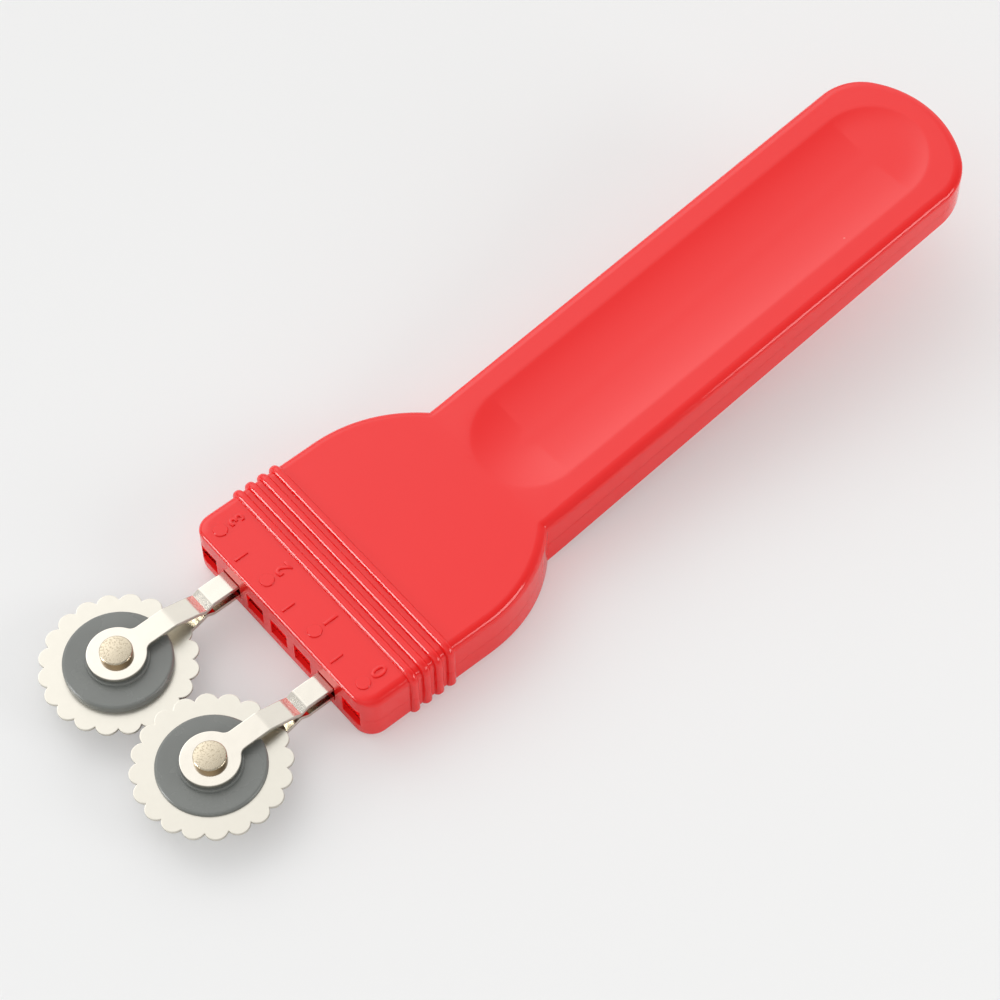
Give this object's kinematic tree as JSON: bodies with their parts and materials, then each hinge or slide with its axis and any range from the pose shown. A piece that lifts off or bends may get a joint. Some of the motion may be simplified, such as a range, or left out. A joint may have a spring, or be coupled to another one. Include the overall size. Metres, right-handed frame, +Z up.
{
  "type": "double tracing wheel",
  "caption": "Sewing marking tool: scalloped steel wheels on sprung forks plug into a socket row in the nose of a flat red plastic handle with ribs and a thumb recess.",
  "frame": {"origin": "on the table under the middle of the tool's length and width, as it lies on the flat underside of its head", "axes": "+X across the tool towards the zero end of its scale; +Y from the wheels to the end of the grip; +Z up"},
  "size_m": [0.0409, 0.144, 0.021],
  "materials": {
    "red_plastic": "smooth glossy moulded",
    "grey_plastic": "satin moulded",
    "plated_steel": "bright nickel plated strip",
    "disc_steel": "pale satin nickel",
    "rivet_steel": "pitted pressed head"
  },
  "bodies": {
    "handle": {"handle_upper_shell": "red_plastic", "handle_lower_shell": "red_plastic"},
    "left_arm": {"left_fork": "plated_steel", "left_axle_rivet": "rivet_steel"},
    "left_wheel": {"left_disc": "disc_steel", "left_hub_body": "grey_plastic", "left_hub_cap": "grey_plastic"},
    "right_arm": {"right_fork": "plated_steel", "right_axle_rivet": "rivet_steel"},
    "right_wheel": {"right_disc": "disc_steel", "right_hub_body": "grey_plastic", "right_hub_cap": "grey_plastic"}
  },
  "joints": [
    {"name": "left_fork_pull", "type": "slide", "parent": "handle", "child": "left_arm", "axis": [0, -1, 0], "range_m": [0, 0.016]},
    {"name": "left_wheel_spin", "type": "hinge", "parent": "left_arm", "child": "left_wheel", "pos_m": [-0.01, -0.06143, 0.0042], "axis": [0, 0, 1], "continuous": true},
    {"name": "right_fork_pull", "type": "slide", "parent": "handle", "child": "right_arm", "axis": [0, -1, 0], "range_m": [0, 0.016]},
    {"name": "right_wheel_spin", "type": "hinge", "parent": "right_arm", "child": "right_wheel", "pos_m": [0.01, -0.06143, 0.0042], "axis": [0, 0, 1], "continuous": true}
  ]
}
